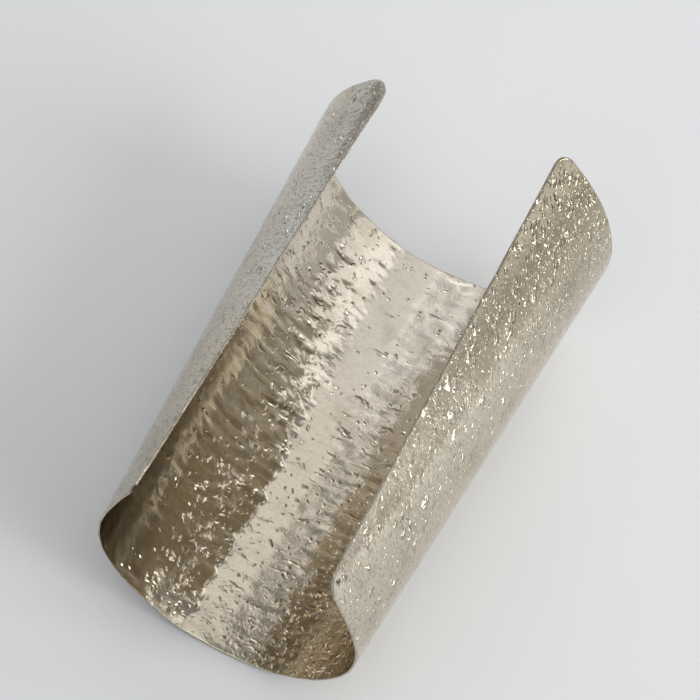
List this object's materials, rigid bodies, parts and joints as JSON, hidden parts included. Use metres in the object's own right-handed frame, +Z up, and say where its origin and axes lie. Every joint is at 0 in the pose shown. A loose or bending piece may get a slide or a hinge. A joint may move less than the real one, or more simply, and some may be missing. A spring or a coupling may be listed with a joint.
{
  "type": "open cuff bracelet",
  "caption": "Long open cuff bracelet bent from one hammered metal sheet, wider at the forearm end, lying on its back with its gap up.",
  "frame": {"origin": "middle of the box round the cuff, at the height of the surface it rests on", "axes": "+Y runs along the wrist towards the wider forearm end, +Z up through the gap between the sheet's two long edges, +X to the right seen from the narrower end"},
  "size_m": [0.0716, 0.1152, 0.0512],
  "materials": {
    "hammered_metal": "glossy hammered warm silver-coloured metal, lightly tarnished"
  },
  "bodies": {
    "root": {"cuff": "hammered_metal"}
  },
  "joints": []
}
